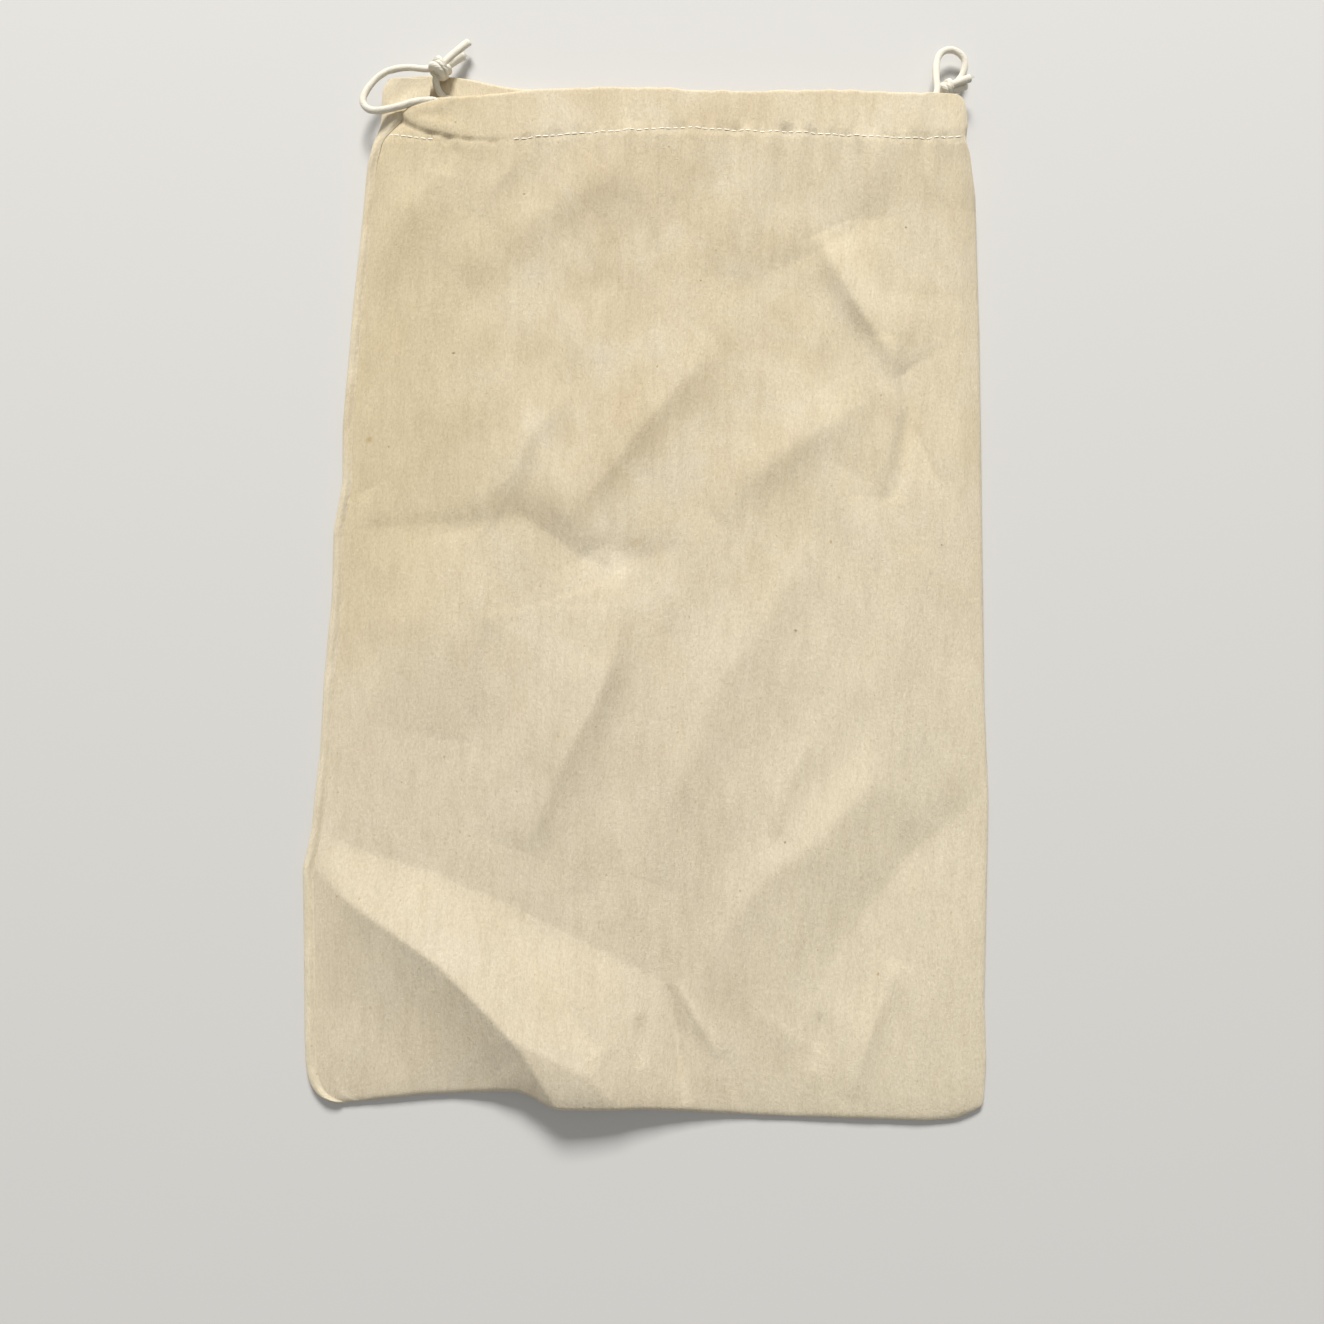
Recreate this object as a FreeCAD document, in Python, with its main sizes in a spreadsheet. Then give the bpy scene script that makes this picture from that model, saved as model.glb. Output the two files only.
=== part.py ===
import FreeCAD
import Part
import Sketcher
import math
import os

# Drawstring dust bag for a bucket bag, lying flat: two cotton-flannel panels sewn down
# both sides and along the bottom, a cord casing at the mouth of each panel, and two
# drawstrings, one drawn out at each side.
# Millimetres. +X to the bag's right, +Y from the bottom seam to the mouth, +Z up.
# The origin is under the middle of the bag, on the surface it lies on.

V = FreeCAD.Vector
doc = FreeCAD.newDocument("drawstring_bag")

# ---------------------------------------------------------------- dimensions
SIZES = {
    "bag_length": 459.0,       # bottom seam to the back panel's mouth edge
    "cloth": 0.5,              # one layer of flannel
    "layer_gap": 0.1,          # air between layers sewn together
    "seam_allowance": 13.0,    # cloth left inside each side seam
    "bottom_allowance": 12.0,
    "seam_inset": 2.0,         # from the end of the rolled edge to the side seam
    "casing_depth": 20.0,      # mouth edge to the casing's stitches
    "casing_height": 4.4,      # outside height of a casing
    "mouth_height": 14.0,      # both casings and the way in between them
    "front_step": 3.0,         # the front panel's mouth edge is this much lower
    "front_left": -104.0,      # ends of the tunnel in each casing
    "back_left": -96.0,
    "tunnel_right": 120.0,
    "lobe_height": 9.0,        # back casing's left end, curled forward
    "cord": 2.8,
    "stitch_pitch": 3.2,
    "stitch_length": 2.5,
    "thread": 0.45,
    "knot_ring": 2.75,         # middle of a knot's wrap
    "knot_wrap": 1.45,
}

sheet = doc.addObject("Spreadsheet::Sheet", "Sizes")
for row, (name, value) in enumerate(SIZES.items(), start=1):
    sheet.set("A%d" % row, name)
    sheet.set("B%d" % row, str(value))
    sheet.setAlias("B%d" % row, name)
doc.recompute()

LENGTH = SIZES["bag_length"]
CLOTH = SIZES["cloth"]
GAP = SIZES["layer_gap"]
ALLOWANCE = SIZES["seam_allowance"]
MOUTH = SIZES["mouth_height"]
CASING = SIZES["casing_height"]
CORD = SIZES["cord"]
THREAD = SIZES["thread"]
FRONT_TOP = LENGTH - SIZES["front_step"]
FRONT_ROW = FRONT_TOP - SIZES["casing_depth"]
BACK_ROW = LENGTH - SIZES["casing_depth"]

# Cross-sections of the bag: height above the bottom seam, left edge, right edge, thickness.
STATIONS = [
    (0.0, -131.0, 134.0, 3.0),
    (14.0, -144.0, 147.0, 9.0),
    (30.0, -146.5, 147.5, 10.0),
    (100.0, -149.0, 149.0, 10.0),
    (200.0, -143.0, 147.0, 10.0),
    (300.0, -140.0, 147.0, 10.0),
    (400.0, -135.0, 145.0, 10.0),
    (FRONT_ROW, -131.0, 141.0, MOUTH),
]

# Ends of the cloth turned in along the bottom seam, between the side seams' allowances.
BOTTOM_FOLD = (-113.0, 116.0)


def up(y):
    """Distance above the bottom seam, as the row's Y."""
    return y - LENGTH / 2


def at(x, y, z):
    return V(x, up(y), z)


# ---------------------------------------------------------------- helpers
def plane(body, role):
    for feature in body.Origin.OriginFeatures:
        if feature.Role == role:
            return feature


def new_sketch(body, name, role, offset=0.0):
    sketch = body.newObject("Sketcher::SketchObject", name)
    sketch.AttachmentSupport = [(plane(body, role), "")]
    sketch.MapMode = "FlatFace"
    sketch.AttachmentOffset = FreeCAD.Placement(V(0, 0, offset), FreeCAD.Rotation())
    return sketch


def outline(sketch, steps):
    """Closed outline from corners (u, v); a step with a third entry is an arc through it."""
    first = sketch.GeometryCount
    for index, step in enumerate(steps):
        after = steps[(index + 1) % len(steps)]
        start = V(step[0], step[1], 0)
        end = V(after[0], after[1], 0)
        if len(step) == 3:
            middle = V(step[2][0], step[2][1], 0)
            sketch.addGeometry(Part.Arc(start, middle, end), False)
        else:
            sketch.addGeometry(Part.LineSegment(start, end), False)
    return first


def pad(body, name, sketch, length, both=False):
    feature = body.newObject("PartDesign::Pad", name)
    feature.Profile = sketch
    if isinstance(length, str):
        feature.setExpression("Length", length)
    else:
        feature.Length = length
    feature.Midplane = both
    sketch.Visibility = False
    return feature


# ---------------------------------------------------------------- panels
def front_section(left, right, height):
    """Front panel cut across: flat on top, rolled round the right edge to the seam under it.

    At each seam the cloth turns inward and its allowance lies inside the bag.
    """
    r = height / 2
    roll = right - r
    under = roll - SIZES["seam_inset"]
    over = left + r + SIZES["seam_inset"] + GAP
    low = 2 * CLOTH + 2 * GAP
    return [
        (over, height),
        (roll, height, (right, r)),
        (roll, 0),
        (under, 0),
        (under, low),
        (under - ALLOWANCE, low),
        (under - ALLOWANCE, low + CLOTH),
        (under + CLOTH, low + CLOTH),
        (under + CLOTH, CLOTH),
        (roll, CLOTH, (right - CLOTH, r)),
        (roll, height - CLOTH),
        (over + CLOTH, height - CLOTH),
        (over + CLOTH, height - CLOTH - GAP),
        (over + ALLOWANCE, height - CLOTH - GAP),
        (over + ALLOWANCE, height - 2 * CLOTH - GAP),
        (over, height - 2 * CLOTH - GAP),
    ]


def back_section(left, right, height):
    """Back panel cut across: the front panel's section turned over."""
    turned = []
    for step in front_section(left, right, height):
        point = [left + right - step[0], height - step[1]]
        if len(step) == 3:
            point.append((left + right - step[2][0], height - step[2][1]))
        turned.append(tuple(point))
    return turned


def lobe_section(left, lip, height):
    """Left end of the back casing: the cloth curls up and over, open towards the bag."""
    r = height / 2
    inner = SIZES["back_left"] + 1
    return [
        (inner, 0),
        (left + r, 0, (left, r)),
        (left + r, height),
        (lip, height),
        (lip, height - CLOTH),
        (left + r, height - CLOTH, (left + CLOTH, r)),
        (left + r, CLOTH),
        (inner, CLOTH),
    ]


def loft(body, name, sections):
    """Loft through (distance above the bottom seam, outline steps)."""
    sketches = []
    for number, (y, steps) in enumerate(sections):
        sketch = new_sketch(body, "%s_%d" % (name, number), "XZ_Plane", -up(y))
        sketch.setExpression("AttachmentOffset.Base.z", "Sizes.bag_length / 2 - %g" % y)
        outline(sketch, steps)
        sketches.append(sketch)
    doc.recompute()
    feature = body.newObject("PartDesign::AdditiveLoft", name)
    feature.Profile = sketches[0]
    feature.Sections = sketches[1:]
    feature.Ruled = True
    doc.recompute()
    for sketch in sketches:
        sketch.Visibility = False
    return feature


def casing_steps(row, top, face, side):
    """Hem folded over to make a cord tunnel; side is -1 below the face and +1 above it.

    Returns the outer outline and the tunnel's outline, in (Y, Z).
    """
    rc = CASING / 2
    edge = up(top) - rc
    seam = up(row)
    far = face + side * CASING
    ramp = seam + 5.0
    outer = [
        (seam - 3.0, face),
        (edge, face, (edge + rc, face + side * rc)),
        (edge, far),
        (ramp, far),
        (seam + 2.0, face + side * 2 * CLOTH),
        (seam - 3.0, face + side * 2 * CLOTH),
    ]
    near = face + side * CLOTH
    inner = [
        (seam + 2.6, near),
        (edge, near, (edge + rc - CLOTH, face + side * rc)),
        (edge, far - side * CLOTH),
        (ramp + 0.2, far - side * CLOTH),
    ]
    return outer, inner


def casing(body, name, row, top, face, side, left, right):
    outer, inner = casing_steps(row, top, face, side)
    sketch = new_sketch(body, name + "_profile", "YZ_Plane", left)
    outline(sketch, outer)
    outline(sketch, inner)
    return pad(body, name, sketch, right - left)


def flat_pad(body, name, steps, z):
    sketch = new_sketch(body, name + "_outline", "XY_Plane", z)
    outline(sketch, steps)
    return pad(body, name, sketch, "Sizes.cloth")


def bottom_allowance(body, name, low, high, strip):
    """Cloth turned in along the bottom seam: its fold, then the strip inside the bag."""
    fold = new_sketch(body, name + "_fold_outline", "XY_Plane", low)
    y0 = up(0)
    left, right = BOTTOM_FOLD
    outline(fold, [(left, y0), (right, y0), (right, y0 + CLOTH), (left, y0 + CLOTH)])
    pad(body, name + "_fold", fold, high - low)
    y1 = up(SIZES["bottom_allowance"])
    flat_pad(body, name, [(left, y0), (right, y0), (right, y1), (left, y1)], strip)


def front_panel():
    body = doc.addObject("PartDesign::Body", "front_panel")
    sections = [(y, front_section(a, b, h)) for y, a, b, h in STATIONS]
    loft(body, "front_cloth", sections)
    bottom_allowance(body, "front_bottom_allowance", 1.55, 3.0, 1.55)
    casing(body, "front_casing", FRONT_ROW, FRONT_TOP, MOUTH, -1,
           SIZES["front_left"], SIZES["tunnel_right"])
    # One layer runs past the tunnel to the rounded right corner, and slants to the left slit.
    row = up(FRONT_ROW) - 0.4
    top = up(FRONT_TOP)
    corner = 8.0
    right = 139.0
    turn = corner * (1 - math.sqrt(0.5))
    steps = [
        (-121.5, row),
        (right - 5.0, row),
        (right, row + 5.0),
        (right, top - corner, (right - turn, top - turn)),
        (right - corner, top),
        (SIZES["tunnel_right"] - 2, top),
        (SIZES["tunnel_right"] - 2, top - 10),
        (SIZES["front_left"], top - 10),
    ]
    flat_pad(body, "front_mouth_corners", steps, MOUTH - CLOTH)
    return body


def back_panel():
    body = doc.addObject("PartDesign::Body", "back_panel")
    sections = [(y, back_section(a, b, h)) for y, a, b, h in STATIONS]
    loft(body, "back_cloth", sections)
    # The part of the panel that the bag rests on is cut as one plane.
    window = [(-110, up(40)), (112, up(40)), (112, up(400)), (-110, up(400))]
    sketch = new_sketch(body, "resting_window", "XY_Plane")
    outline(sketch, window)
    pocket = body.newObject("PartDesign::Pocket", "resting_cut")
    pocket.Profile = sketch
    pocket.setExpression("Length", "Sizes.cloth")
    pocket.Reversed = True
    sketch.Visibility = False
    doc.recompute()
    flat_pad(body, "resting_face", window, 0.0)
    bottom_allowance(body, "back_bottom_allowance", 0.0, 1.45, 0.95)
    casing(body, "back_casing", BACK_ROW, LENGTH, 0.0, 1,
           SIZES["back_left"], SIZES["tunnel_right"])
    tall = SIZES["lobe_height"]
    lobe = [
        (FRONT_ROW - 0.5, lobe_section(-131.0, -122.5, tall)),
        (FRONT_ROW + 16.0, lobe_section(-127.0, -115.0, tall)),
        (LENGTH, lobe_section(-119.0, -113.0, tall - 2.0)),
    ]
    loft(body, "back_lobe", lobe)
    row = up(FRONT_ROW) - 0.4
    top = up(LENGTH)
    steps = [
        (-100, row),
        (130, row),
        (134, row + 4.0),
        (134, top - 12.0),
        (126, top - 4.0),
        (SIZES["tunnel_right"] - 2, top - 4.0),
        (SIZES["tunnel_right"] - 2, top - 10),
        (-100, top - 10),
    ]
    flat_pad(body, "back_mouth_corners", steps, 0.0)
    return body


# ---------------------------------------------------------------- thread
def stitch_row(name, y, z, start, end):
    """A row of lockstitches seen from its own side: each stitch rises out of the cloth."""
    body = doc.addObject("PartDesign::Body", name)
    sketch = new_sketch(body, name + "_profile", "XZ_Plane", -up(y) - THREAD / 2)
    sketch.setExpression(
        "AttachmentOffset.Base.z", "Sizes.bag_length / 2 - %g - Sizes.thread / 2" % y)
    pitch = SIZES["stitch_pitch"]
    rise = (pitch - SIZES["stitch_length"]) / 2
    count = int((end - start) / pitch)
    points = []
    for number in range(count):
        x = start + number * pitch
        points.append((x, z + 0.12))
        points.append((x + rise, z + 0.12))
        points.append((x + 2 * rise, z + THREAD))
        points.append((x + pitch - rise, z + THREAD))
    last = start + count * pitch
    points.append((last, z + 0.12))
    points.append((last, z))
    points.append((start, z))
    outline(sketch, points)
    pad(body, name + "_pad", sketch, "Sizes.thread")
    return body


def rounded_route(points, tell=None):
    """Straight runs through the points, joined by tangent arcs. Returns a wire."""
    edges = []
    start = points[0]
    radii = []
    for before, corner, after in zip(points, points[1:], points[2:]):
        a = before - corner
        b = after - corner
        half = (math.pi - a.getAngle(b)) / 2
        cut = 0.45 * min(a.Length, b.Length)
        radii.append(cut / math.tan(half))
        a.normalize()
        b.normalize()
        first = corner + a * cut
        second = corner + b * cut
        bisector = (a + b).normalize()
        reach = cut / math.cos(math.pi / 2 - half)
        centre = corner + bisector * reach
        middle = centre - bisector * radii[-1]
        edges.append(Part.LineSegment(start, first).toShape())
        edges.append(Part.Arc(first, middle, second).toShape())
        start = second
    edges.append(Part.LineSegment(start, points[-1]).toShape())
    wire = Part.Wire(edges)
    if tell:
        told = ", ".join("%.1f" % r for r in radii)
        print("%s: length %.1f mm, arc radii %s" % (tell, wire.Length, told))
    return wire


def tube(name, wire, radius, cornered=False):
    """Round cord or thread along a wire. radius is an expression on the sheet."""
    route = doc.addObject("Part::Feature", name + "_route")
    route.Shape = wire
    ring = doc.addObject("Part::Circle", name + "_ring")
    ring.setExpression("Radius", radius)
    first = wire.OrderedEdges[0]
    heading = first.tangentAt(first.FirstParameter)
    if first.Orientation == "Reversed":
        heading = first.tangentAt(first.LastParameter) * -1
    start = wire.OrderedVertexes[0].Point
    ring.Placement = FreeCAD.Placement(start, FreeCAD.Rotation(V(0, 0, 1), heading))
    doc.recompute()
    sweep = doc.addObject("Part::Sweep", name)
    sweep.Sections = [ring]
    sweep.Spine = (route, ["Edge%d" % (n + 1) for n in range(len(wire.Edges))])
    sweep.Solid = True
    sweep.Frenet = False
    if cornered:
        sweep.Transition = "Right corner"
    doc.recompute()
    expect = wire.Length * math.pi * ring.Radius.Value ** 2
    print("%s: volume %.1f, length x section %.1f" % (name, sweep.Shape.Volume, expect))
    return sweep


def seam_thread(name, side):
    """Thread of a side seam, inside the bag against the two allowances."""
    points = []
    for y, left, right, height in STATIONS:
        r = height / 2
        if side < 0:
            x = left + r + SIZES["seam_inset"] + 1.6
            z = height - 3 * CLOTH - 2 * GAP - THREAD / 2 - 0.02
        else:
            x = right - r - SIZES["seam_inset"] - 1.6
            z = 3 * CLOTH + 2 * GAP + THREAD / 2 + 0.02
        points.append(at(x, y, z))
    # It starts above the bottom fold and stops short of the slit.
    points[0] = points[0] + (points[1] - points[0]) * 0.3
    points[-1] = points[-2] + (points[-1] - points[-2]) * 0.8
    return tube(name, Part.makePolygon(points), "Sizes.thread / 2", cornered=True)


def bottom_thread():
    """Thread of the bottom seam, on top of the two turned-in strips."""
    y = up(7.0)
    line = Part.LineSegment(V(-114, y, 2.3), V(116, y, 2.3)).toShape()
    return tube("bottom_seam_stitching", Part.Wire([line]), "Sizes.thread / 2")


def bartack(name, x, z):
    """Short dense zigzag across the top of a side seam, where the slit begins."""
    body = doc.addObject("PartDesign::Body", name)
    sketch = new_sketch(body, name + "_profile", "XY_Plane", z)
    y = up(FRONT_ROW) - 3.0
    points = []
    teeth = 7
    for number in range(teeth):
        points.append((x + number * 0.9, y - 0.8))
        points.append((x + number * 0.9 + 0.45, y - 0.5))
    for number in reversed(range(teeth)):
        points.append((x + number * 0.9 + 0.45, y + 0.8))
        points.append((x + number * 0.9, y + 0.5))
    outline(sketch, points)
    pad(body, name + "_pad", sketch, "Sizes.thread")
    return body


# ---------------------------------------------------------------- drawstrings
FRONT_Z = MOUTH - CASING / 2
BACK_Z = CASING / 2
# Where each cord runs across each casing, as a height above the bottom seam.
LEFT_FRONT_LANE = 445.5
LEFT_BACK_LANE = 452.0
RIGHT_FRONT_LANE = 451.0
RIGHT_BACK_LANE = 446.0
HELD_LEFT = -102.0
HELD_BACK_LEFT = -94.0
HELD_RIGHT = 118.0


def held_route(front, back, front_end, back_end, turn_x, out):
    """Cord inside the bag's mouth: through one casing, round the far end, back in the other."""
    a = at(turn_x, front, FRONT_Z)
    b = at(turn_x, back, BACK_Z)
    middle = (a + b) * 0.5 + V(out * (a - b).Length / 2, 0, 0)
    edges = [
        Part.LineSegment(at(front_end, front, FRONT_Z), a).toShape(),
        Part.Arc(a, middle, b).toShape(),
        Part.LineSegment(b, at(back_end, back, BACK_Z)).toShape(),
    ]
    return Part.Wire(edges)


def knot(name, centre, heading, droop, entries, cords):
    """Overhand knot tied in both ends of a cord: two wraps round a core.

    heading is the direction of the tails in plan, in degrees. The cords that enter it are cut
    out of it, so that it meets them face to face.
    """
    turn = FreeCAD.Rotation(V(0, 0, 1), V(
        math.cos(math.radians(heading)), math.sin(math.radians(heading)), droop))
    pieces = []
    for number, shift in enumerate((-1.5, 1.2)):
        wrap = doc.addObject("Part::Torus", "%s_wrap_%d" % (name, number))
        wrap.setExpression("Radius1", "Sizes.knot_ring")
        wrap.setExpression("Radius2", "Sizes.knot_wrap")
        tilt = FreeCAD.Rotation(V(1, 0, 0), 14 if number else -10)
        wrap.Placement = FreeCAD.Placement(
            centre + turn.multVec(V(0, 0, shift)), turn.multiply(tilt))
        pieces.append(wrap)
    core = doc.addObject("Part::Cylinder", name + "_core")
    core.Radius = 3.0
    core.Height = 7.4
    core.Placement = FreeCAD.Placement(centre + turn.multVec(V(0, 0, -3.9)), turn)
    pieces.append(core)
    for number, (tip, toward) in enumerate(entries):
        # A short stub leads each loop strand from the core to where the free cord starts.
        stub = doc.addObject("Part::Cylinder", "%s_stub_%d" % (name, number))
        stub.setExpression("Radius", "Sizes.cord / 2")
        way = toward - tip
        stub.Height = way.Length
        stub.Placement = FreeCAD.Placement(tip, FreeCAD.Rotation(V(0, 0, 1), way))
        pieces.append(stub)
    solid = doc.addObject("Part::MultiFuse", name + "_whole")
    solid.Shapes = pieces
    for number, cord in enumerate(cords):
        cut = doc.addObject("Part::Cut", "%s_cut_%d" % (name, number))
        cut.Base = solid
        cut.Tool = cord
        solid = cut
    doc.recompute()
    return solid


def drawstring(side, held, loop, strand, knot_data, tails):
    """One cord: its run inside the casings, free loop, knot, back strand and two tails."""
    made = []
    made.append(tube(side + "_cord_in_casings", held, "Sizes.cord / 2"))
    name = side + "_cord_loop"
    made.append(tube(name, rounded_route(loop, name), "Sizes.cord / 2"))
    name = side + "_cord_back_strand"
    made.append(tube(name, rounded_route(strand, name), "Sizes.cord / 2"))
    for word, route in tails:
        name = "%s_cord_%s_tail" % (side, word)
        made.append(tube(name, Part.Wire([Part.LineSegment(*route).toShape()]), "Sizes.cord / 2"))
    centre, heading, droop = knot_data
    entries = [(loop[-1], centre), (strand[-1], centre)]
    tied = knot(side + "_cord_knot", centre, heading, droop, entries, made[1:])
    tied.Label = side + "_cord_knot"
    return made + [tied]


LEFT_LOOP = [
    at(HELD_LEFT, LEFT_FRONT_LANE, FRONT_Z),
    at(-108.5, 445.4, 11.9),
    at(-119.0, 441.7, 11.7),
    at(-131.2, 440.0, 10.7),
    at(-136.2, 447.2, 9.2),
    at(-127.8, 460.6, 8.2),
    at(-116.5, 464.0, 8.0),
    at(-106.2, 462.9, 7.6),
]
LEFT_STRAND = [
    at(HELD_BACK_LEFT, LEFT_BACK_LANE, BACK_Z),
    at(-100.0, LEFT_BACK_LANE, BACK_Z),
    at(-103.9, 459.6, 4.2),
]
RIGHT_LOOP = [
    at(HELD_RIGHT, RIGHT_FRONT_LANE, FRONT_Z),
    at(123.6, RIGHT_FRONT_LANE, FRONT_Z),
    at(126.7, 454.8, 11.3),
    at(125.8, 466.0, 8.6),
    at(127.6, 477.0, 6.2),
    at(134.5, 480.8, 5.0),
    at(141.0, 476.5, 4.4),
    at(139.8, 468.0, 4.2),
    at(134.6, 462.4, 4.6),
]
RIGHT_STRAND = [
    at(HELD_RIGHT, RIGHT_BACK_LANE, BACK_Z),
    at(127.0, RIGHT_BACK_LANE, BACK_Z),
    at(131.4, 449.4, 3.2),
    at(131.0, 455.8, 4.6),
]
LEFT_KNOT = (at(-101.0, 464.3, 7.0), 49.0, -0.12)
RIGHT_KNOT = (at(131.0, 460.2, 6.4), 27.0, 0.08)
LEFT_TAILS = [
    ("long", (at(-99.6, 467.6, 6.6), at(-88.6, 478.8, 4.6))),
    ("short", (at(-97.2, 465.6, 6.2), at(-90.7, 472.5, 4.4))),
]
RIGHT_TAILS = [
    ("long", (at(133.4, 460.6, 8.9), at(141.2, 464.2, 9.2))),
    ("short", (at(134.2, 457.7, 7.4), at(138.4, 459.0, 6.6))),
]

nodes = [front_panel(), back_panel()]
nodes.append(stitch_row("front_casing_stitching", FRONT_ROW, MOUTH, -118.0, 136.0))
nodes.append(stitch_row("back_casing_stitching", BACK_ROW, 2 * CLOTH, -94.0, 118.0))
nodes.append(seam_thread("left_seam_stitching", -1))
nodes.append(seam_thread("right_seam_stitching", 1))
nodes.append(bottom_thread())
slit = STATIONS[-1]
nodes.append(bartack("left_slit_bartack", slit[1] + MOUTH / 2 + 4.2,
                     MOUTH - 0.5 - 3 * CLOTH - 2 * GAP - THREAD))
nodes.append(bartack("right_slit_bartack", slit[2] - MOUTH / 2 - 10.5,
                     3 * CLOTH + 2 * GAP + 0.02))
nodes += drawstring(
    "left",
    held_route(LEFT_FRONT_LANE, LEFT_BACK_LANE, HELD_LEFT, HELD_BACK_LEFT,
               SIZES["tunnel_right"], 1),
    LEFT_LOOP, LEFT_STRAND, LEFT_KNOT, LEFT_TAILS)
nodes += drawstring(
    "right",
    held_route(RIGHT_FRONT_LANE, RIGHT_BACK_LANE, HELD_RIGHT, HELD_RIGHT,
               SIZES["front_left"], -1),
    RIGHT_LOOP, RIGHT_STRAND, RIGHT_KNOT, RIGHT_TAILS)
doc.recompute()

# ---------------------------------------------------------------- checks and export
bad = []
for item in doc.Objects:
    if "Invalid" in item.State or "Error" in item.State:
        bad.append(item.Name)
for node in nodes:
    shape = node.Shape
    if shape.isNull() or not shape.isValid() or len(shape.Solids) != 1:
        bad.append("%s (solids %d)" % (node.Name, len(shape.Solids)))
if bad:
    raise RuntimeError("broken: " + ", ".join(bad))

os.makedirs("parts", exist_ok=True)
for node in nodes:
    node.Shape.exportStep("parts/%s.step" % node.Label)
    box = node.Shape.BoundBox
    print("%-26s %9.1f mm3  x %.1f..%.1f  y %.1f..%.1f  z %.2f..%.2f" % (
        node.Label, node.Shape.Volume, box.XMin, box.XMax, box.YMin, box.YMax, box.ZMin, box.ZMax))
print("nodes", len(nodes))
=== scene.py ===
import math

import bpy
import numpy as np
from mathutils import Matrix, Vector


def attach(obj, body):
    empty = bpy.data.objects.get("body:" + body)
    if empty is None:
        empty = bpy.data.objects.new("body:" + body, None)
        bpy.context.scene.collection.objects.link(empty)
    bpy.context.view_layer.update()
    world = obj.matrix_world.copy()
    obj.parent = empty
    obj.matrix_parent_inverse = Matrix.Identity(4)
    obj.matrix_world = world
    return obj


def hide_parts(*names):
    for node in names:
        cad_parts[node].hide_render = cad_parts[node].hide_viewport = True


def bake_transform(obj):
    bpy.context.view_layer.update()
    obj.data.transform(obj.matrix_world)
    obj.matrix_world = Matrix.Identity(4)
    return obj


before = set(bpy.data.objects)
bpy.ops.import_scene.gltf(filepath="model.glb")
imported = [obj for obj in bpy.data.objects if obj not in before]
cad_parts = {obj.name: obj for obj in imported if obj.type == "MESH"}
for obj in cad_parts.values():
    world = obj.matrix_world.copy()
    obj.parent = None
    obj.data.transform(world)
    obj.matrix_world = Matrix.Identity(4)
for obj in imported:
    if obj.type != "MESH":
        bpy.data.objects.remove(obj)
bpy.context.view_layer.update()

MM = 0.001
LENGTH = 459.0                  # bottom seam to the back panel's mouth edge, as in the CAD
FRONT_LENGTH = 456.0            # bottom seam to the front panel's highest mouth edge
MIDDLE = LENGTH / 2
scene = bpy.context.scene
fray_rng = np.random.default_rng(20)


def at(x, y, z):
    """A point from millimetres, y counted from the bottom seam, in the row frame."""
    return Vector((x * MM, (y - MIDDLE) * MM, z * MM))


# ------------------------------------------------------------------ camera
# A phone held over the bag, leaning a little towards its mouth. Distances in millimetres.
cam_data = bpy.data.cameras.new("camera")
camera = bpy.data.objects.new("camera", cam_data)
scene.collection.objects.link(camera)
scene.camera = camera
cam_data.lens = 27.03
cam_data.sensor_width = 36.0
cam_data.clip_start = 0.01
cam_data.clip_end = 20.0
TILT = math.radians(4.5)
ROLL = math.radians(1.0)
DISTANCE = 441.0
AIM = (5.6, 193.8)
camera.location = at(AIM[0], AIM[1] - DISTANCE * math.sin(TILT), DISTANCE * math.cos(TILT))
camera.rotation_euler = (
    Matrix.Rotation(TILT, 4, "X") @ Matrix.Rotation(ROLL, 4, "Z")).to_euler()


# ------------------------------------------------------------------ materials
def material(name):
    mat = bpy.data.materials.new(name)
    mat.use_nodes = True
    tree = mat.node_tree
    shader = tree.nodes["Principled BSDF"]
    return mat, tree, shader


def node(tree, kind, **values):
    made = tree.nodes.new(kind)
    for key, value in values.items():
        if key in made.inputs:
            made.inputs[key].default_value = value
        else:
            setattr(made, key, value)
    return made


def scaled_uv(tree, x, y, warp=0.0):
    """The cloth's own coordinates, in centimetres, stretched by x and y."""
    uv = node(tree, "ShaderNodeUVMap", uv_map="cloth_cm")
    mapping = node(tree, "ShaderNodeMapping", Scale=(x, y, 1.0))
    tree.links.new(uv.outputs["UV"], mapping.inputs["Vector"])
    if not warp:
        return mapping.outputs["Vector"]
    wobble = node(tree, "ShaderNodeTexNoise", Scale=1.3, Detail=2.0)
    tree.links.new(uv.outputs["UV"], wobble.inputs["Vector"])
    scale = node(tree, "ShaderNodeVectorMath", operation="SCALE")
    scale.inputs["Scale"].default_value = warp
    tree.links.new(wobble.outputs["Color"], scale.inputs[0])
    add = node(tree, "ShaderNodeVectorMath", operation="ADD")
    tree.links.new(mapping.outputs["Vector"], add.inputs[0])
    tree.links.new(scale.outputs["Vector"], add.inputs[1])
    return add.outputs["Vector"]


def noise(tree, vector, scale, detail, rough):
    made = node(tree, "ShaderNodeTexNoise", Scale=scale, Detail=detail, Roughness=rough)
    tree.links.new(vector, made.inputs["Vector"])
    return made.outputs["Fac"]


def ramp(tree, fac, stops):
    made = tree.nodes.new("ShaderNodeValToRGB")
    elements = made.color_ramp.elements
    while len(elements) < len(stops):
        elements.new(0.5)
    for element, (position, colour) in zip(elements, stops):
        element.position = position
        element.color = (*colour, 1.0)
    tree.links.new(fac, made.inputs["Fac"])
    return made.outputs["Color"]


def mix(tree, fac, a, b, blend="MIX"):
    made = node(tree, "ShaderNodeMix", data_type="RGBA", blend_type=blend)
    for socket, value in ((made.inputs[0], fac), (made.inputs[6], a), (made.inputs[7], b)):
        if isinstance(value, (int, float)):
            socket.default_value = value
        elif isinstance(value, tuple):
            socket.default_value = (*value, 1.0)
        else:
            tree.links.new(value, socket)
    return made.outputs[2]


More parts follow.
